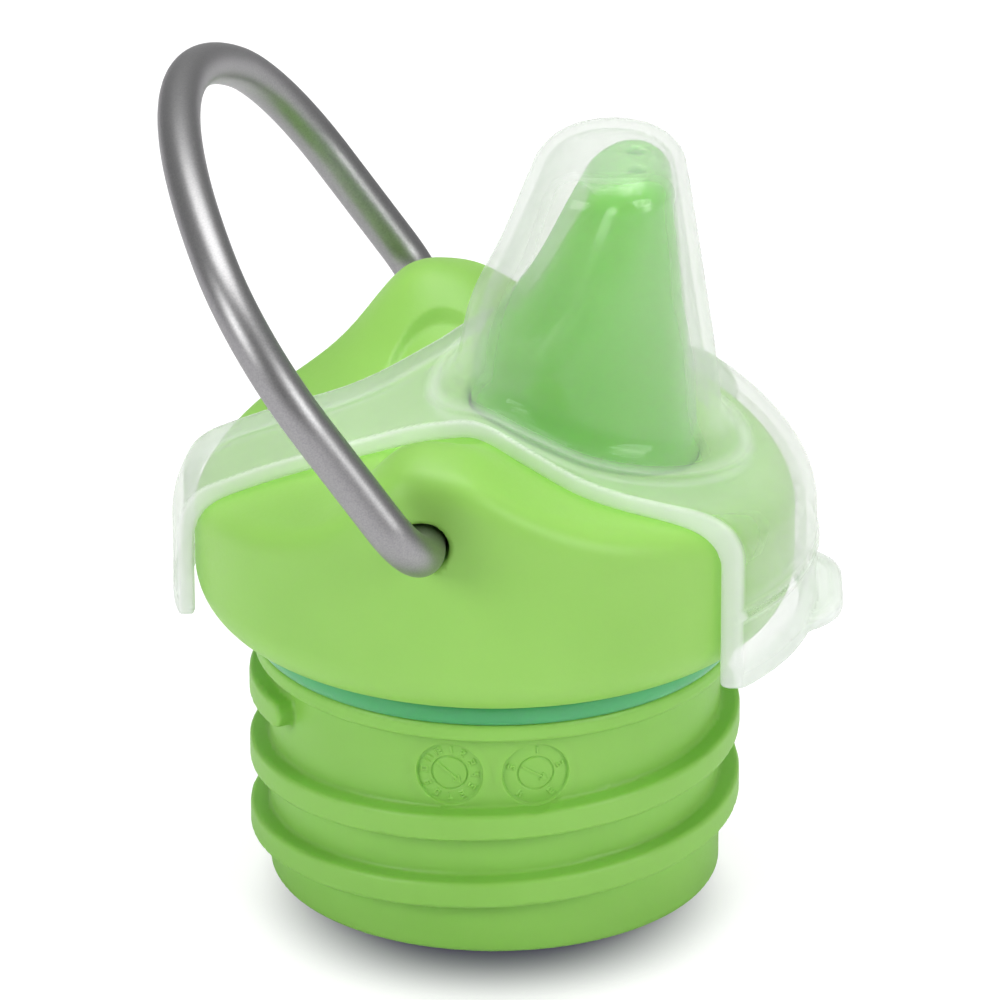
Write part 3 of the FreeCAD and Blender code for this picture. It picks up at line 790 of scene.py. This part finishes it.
def bail_half():
    """The bail's centre line from its foot to the top, as (distance from the middle, height)."""
    half, bend = BAIL_HALF_WIDTH, BAIL_FOOT_BEND
    points = [(d, 0.0) for d in np.linspace(BAIL_FOOT_END, half - bend, 14)[:-1]]
    points += arc_points((half - bend, bend), bend, -math.pi / 2, 0, 16)
    points += [(half, h) for h in np.linspace(bend, BAIL_LEG, 22)[1:-1]]
    points += arc_points((half - BAIL_CORNER, BAIL_LEG), BAIL_CORNER, 0, BAIL_CORNER_ANGLE, 44)
    side, height = points[-1]
    top_radius = side / math.cos(BAIL_CORNER_ANGLE)
    centre = (0.0, height - top_radius * math.sin(BAIL_CORNER_ANGLE))
    return points + arc_points(centre, top_radius, BAIL_CORNER_ANGLE, math.pi / 2, 40)[1:]


def bail_line():
    half = bail_half()
    flat = [(-d, h) for d, h in half] + [(d, h) for d, h in half[-2::-1]]
    return np.array([(PIVOT_X - h * math.sin(BAIL_TILT), d, PIVOT_Z + h * math.cos(BAIL_TILT))
                     for d, h in flat])


def swept_wire(line, radius, sides=40):
    """Round tube along a line that lies in one plane, with domed ends, and its UVs along and round."""
    ahead = np.gradient(line, axis=0)
    ahead /= np.linalg.norm(ahead, axis=1)[:, None]
    flat = np.cross(line[len(line) // 2] - line[0], line[-1] - line[0])
    flat /= np.linalg.norm(flat)
    beside = np.cross(ahead, flat)
    turn = np.linspace(0, 2 * math.pi, sides, endpoint=False)
    rings, along = [], []
    distance = np.concatenate([[0], np.cumsum(np.linalg.norm(np.diff(line, axis=0), axis=1))])
    dome = np.linspace(0, math.pi / 2, 6)[1:]

    def ring(index, share, shift):
        circle = np.cos(turn)[:, None] * beside[index] + np.sin(turn)[:, None] * flat
        rings.append(line[index] + shift * ahead[index] + radius * share * circle)
        along.append(distance[index] + shift)

    for a in dome[::-1]:
        ring(0, 1 - WIRE_END_ROUND / radius * (1 - math.cos(a)), -WIRE_END_ROUND * math.sin(a))
    for index in range(len(line)):
        ring(index, 1.0, 0.0)
    for a in dome:
        ring(len(line) - 1, 1 - WIRE_END_ROUND / radius * (1 - math.cos(a)), WIRE_END_ROUND * math.sin(a))
    count = len(rings)
    faces = [((i + 1) * sides + j, (i + 1) * sides + (j + 1) % sides,
              i * sides + (j + 1) % sides, i * sides + j)
             for i in range(count - 1) for j in range(sides)]
    caps = [tuple(range(sides)), tuple((count - 1) * sides + j for j in reversed(range(sides)))]
    return np.concatenate(rings), faces + caps, np.array(along), sides


# ---- building the pieces --------------------------------------------------------------------

def add_solid(name, field, node, material, body, slot, cell):
    low, high = node_box(node)
    points, quads = solid_mesh(field, low, high, cell)
    piece = add_piece(name, points, quads, material, body, slot, node)
    normals = gradient(field, points, 0.08)
    normals /= np.maximum(np.linalg.norm(normals, axis=1), 1e-6)[:, None]
    piece.data.normals_split_custom_set_from_vertices(normals.tolist())
    return piece, points


def build_cover():
    cover, points = add_solid("clear_cover", cover_field, "dust_cover", CLEAR_PLASTIC, "cover",
                              "cover_plastic", COVER_CELL)
    # the plastic's haze and the painted highlights, stored on the cover's points
    share = milkiness(*points.T).astype(np.float32)
    cover.data.attributes.new("haze_and_highlight", "FLOAT", "POINT").data.foreach_set("value", share)


def build_bail():
    points, faces, along, sides = swept_wire(bail_line(), WIRE_RADIUS)
    bail = add_piece("wire_bail", points, faces, WIRE_STEEL, "bail", "bail_steel", "bail")
    layer = bail.data.uv_layers.new(name="draw_lines")
    for polygon in bail.data.polygons:
        columns = [bail.data.loops[i].vertex_index % sides for i in polygon.loop_indices]
        wraps = max(columns) - min(columns) > sides / 2
        for loop, column in zip(polygon.loop_indices, columns):
            row = bail.data.loops[loop].vertex_index // sides
            turn = (column + sides if wraps and column == 0 else column) / sides
            layer.data[loop].uv = (along[row] * 0.01, turn)


add_solid("moulded_crown", crown_field, "crown_shell", CROWN_GREEN, "cap", "crown_plastic", CROWN_CELL)
add_solid("moulded_stem", stem_field, "threaded_stem", STEM_GREEN, "cap", "stem_plastic", STEM_CELL)
add_solid("soft_spout", spout_field, "spout", SPOUT_GREEN, "cap", "spout_silicone", SPOUT_CELL)
for name, side, numbers, tail in [("month_dial", -1, range(1, 13), (-1.1, 0.95)),
                                  ("year_dial", 1, range(1, 6), (-1.15, 0.7))]:
    add_piece(name, *dial_face(side, numbers, tail), STEM_GREEN, "cap", "stem_plastic")
add_piece("neck_seal", *lathe(gasket_outline()), GASKET_GREEN, "cap", "gasket_rubber", "neck_gasket")
build_cover()
build_bail()


# ---- floor, lights and camera ---------------------------------------------------------------

CAMERA_DISTANCE = 0.8605
CAMERA_AZIMUTH = math.radians(0.52)
CAMERA_ELEVATION = math.radians(23.65)
CAMERA_LENS = 327.5
CAMERA_TARGET = Vector((0.0005, 0, 0.0371))
WORLD_FRONT = 0.12
WORLD_BACK = 0.3
PAINTED_SHADOW_CENTRE = -0.009             # the painted shadow on the floor: its middle's Y, where it starts to fade, its end
PAINTED_SHADOW_START = 0.0115
PAINTED_SHADOW_END = 0.025


def build_floor():
    """White sweep.  The camera sees it evenly lit, with a painted shadow in front of the cap's base."""
    n = Nodes("pale_floor")
    tone = n.ramp(n.noise(3.0, 2.0), (0.93, 0.91, 0.94, 1), (0.95, 0.93, 0.96, 1))
    from_shade = n.add("ShaderNodeVectorMath", {0: n.coordinates(), 1: (0, PAINTED_SHADOW_CENTRE, 0)},
                       operation="SUBTRACT").outputs["Vector"]
    distance = n.add("ShaderNodeVectorMath", {0: from_shade}, operation="LENGTH").outputs["Value"]
    fade = n.add("ShaderNodeMapRange", {"Value": distance, "From Min": PAINTED_SHADOW_START, "From Max": PAINTED_SHADOW_END},
                 interpolation_type="SMOOTHSTEP").outputs["Result"]
    # painted shadow: dark violet-grey in front of the base, fading out to white
    shade = n.ramp(fade, (0.08, 0.075, 0.105, 1), (1, 1, 1, 1), 0.0, 1.0)
    seen = n.add("ShaderNodeLightPath").outputs["Is Camera Ray"]
    # for camera rays the floor's colour is the painted shadow, dimmed
    dim = n.blend(0.7, shade, (0, 0, 0, 1))
    colour = n.blend(seen, tone, dim)
    shader = n.add("ShaderNodeBsdfPrincipled", {
        "Base Color": colour,
        "Roughness": 0.6,
        # camera rays see the floor glow in the painted shadow's colour
        "Emission Color": shade,
        "Emission Strength": n.span(seen, 0.0, 0.82),
    })
    mesh = bpy.data.meshes.new("floor")
    half = 3.0
    corners = [(-half, -half, 0), (half, -half, 0), (half, half, 0), (-half, half, 0)]
    mesh.from_pydata(corners, [], [(0, 1, 2, 3)])
    floor = bpy.data.objects.new("floor", mesh)
    bpy.context.scene.collection.objects.link(floor)
    floor.data.materials.append(n.finish(shader.outputs["BSDF"]))
    floor.location.z = STEM_LOW.z * MM - 0.0002


def build_world():
    """Even pale light from all round, brighter behind the object, as from a lit white backdrop."""
    world = bpy.data.worlds.new("studio")
    bpy.context.scene.world = world
    world.use_nodes = True
    tree = world.node_tree
    background = tree.nodes["Background"]
    direction = tree.nodes.new("ShaderNodeTexCoord").outputs["Generated"]
    split = tree.nodes.new("ShaderNodeSeparateXYZ")
    tree.links.new(direction, split.inputs["Vector"])
    fade = tree.nodes.new("ShaderNodeMapRange")
    tree.links.new(split.outputs["Y"], fade.inputs["Value"])
    fade.inputs["From Min"].default_value = -0.6
    fade.inputs["From Max"].default_value = 0.6
    fade.inputs["To Min"].default_value = WORLD_FRONT
    fade.inputs["To Max"].default_value = WORLD_BACK
    tree.links.new(fade.outputs["Result"], background.inputs["Strength"])
    background.inputs["Color"].default_value = (0.98, 0.99, 1.0, 1)


def softbox(name, place, width, height, power):
    """Square soft light aimed at the middle of the cap."""
    light = bpy.data.lights.new(name, "AREA")
    light.shape = "RECTANGLE"
    light.size = width
    light.size_y = height
    light.energy = power
    lamp = bpy.data.objects.new(name, light)
    bpy.context.scene.collection.objects.link(lamp)
    lamp.location = place
    lamp.rotation_euler = (CAMERA_TARGET - Vector(place)).to_track_quat("-Z", "Y").to_euler()


def build_camera():
    camera = bpy.data.cameras.new("camera")
    camera.lens = CAMERA_LENS
    camera.sensor_width = 36.0
    camera.clip_start = 0.01
    view = bpy.data.objects.new("camera", camera)
    bpy.context.scene.collection.objects.link(view)
    level = math.cos(CAMERA_ELEVATION)
    back = Vector((math.sin(CAMERA_AZIMUTH) * level, -math.cos(CAMERA_AZIMUTH) * level,
                   math.sin(CAMERA_ELEVATION)))
    view.location = CAMERA_TARGET + CAMERA_DISTANCE * back
    view.rotation_euler = (-back).to_track_quat("-Z", "Y").to_euler()
    bpy.context.scene.camera = view


build_floor()
build_world()
softbox("left_box", (-0.64, -0.5, 0.44), 0.4, 0.4, 3.2)
softbox("right_box", (0.64, -0.5, 0.44), 0.4, 0.4, 3.2)
softbox("top_box", (0.0, 0.15, 0.9), 0.7, 0.7, 6.0)
build_camera()
bpy.context.scene.view_settings.view_transform = "Standard"
